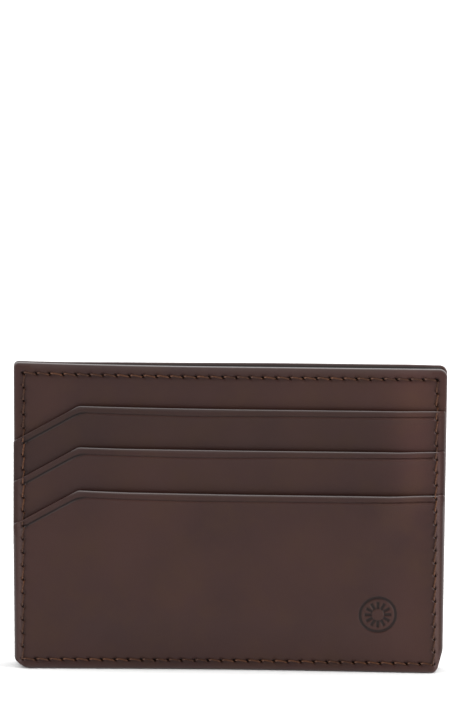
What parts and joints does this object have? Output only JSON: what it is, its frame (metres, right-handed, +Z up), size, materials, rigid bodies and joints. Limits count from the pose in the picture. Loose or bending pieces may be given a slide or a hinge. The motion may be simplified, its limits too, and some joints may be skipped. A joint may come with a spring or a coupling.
{
  "type": "card case wallet",
  "caption": "Slim stitched leather card case with stepped front card slots, an open-topped centre pocket and a windowed identity-card pocket on the back.",
  "frame": {"origin": "middle of the bottom edge, halfway through the thickness", "axes": "+X along the width, +Y from the card-slot face to the identity-window face, +Z up to the open top edge"},
  "size_m": [0.102, 0.009, 0.074],
  "materials": {
    "leather": "smooth dark brown leather, semi-matt, with creased and painted edges",
    "lining": "fine plain-weave lining, dark brown",
    "window_film": "clear flexible film",
    "thread": "bonded thread, dark brown"
  },
  "bodies": {
    "root": {"lower_pocket_panel": "leather", "middle_pocket_strip": "leather", "upper_pocket_strip": "leather", "front_base_panel": "leather", "back_base_panel": "leather", "id_pocket_frame": "leather", "lower_pocket_lining": "lining", "middle_pocket_slip": "lining", "upper_pocket_slip": "lining", "front_centre_lining": "lining", "back_centre_lining": "lining", "id_pocket_lining": "lining", "id_window_film": "window_film", "perimeter_needle_thread": "thread", "perimeter_bobbin_thread": "thread", "front_top_needle_thread": "thread", "front_top_bobbin_thread": "thread", "back_top_needle_thread": "thread", "back_top_bobbin_thread": "thread"}
  },
  "joints": []
}
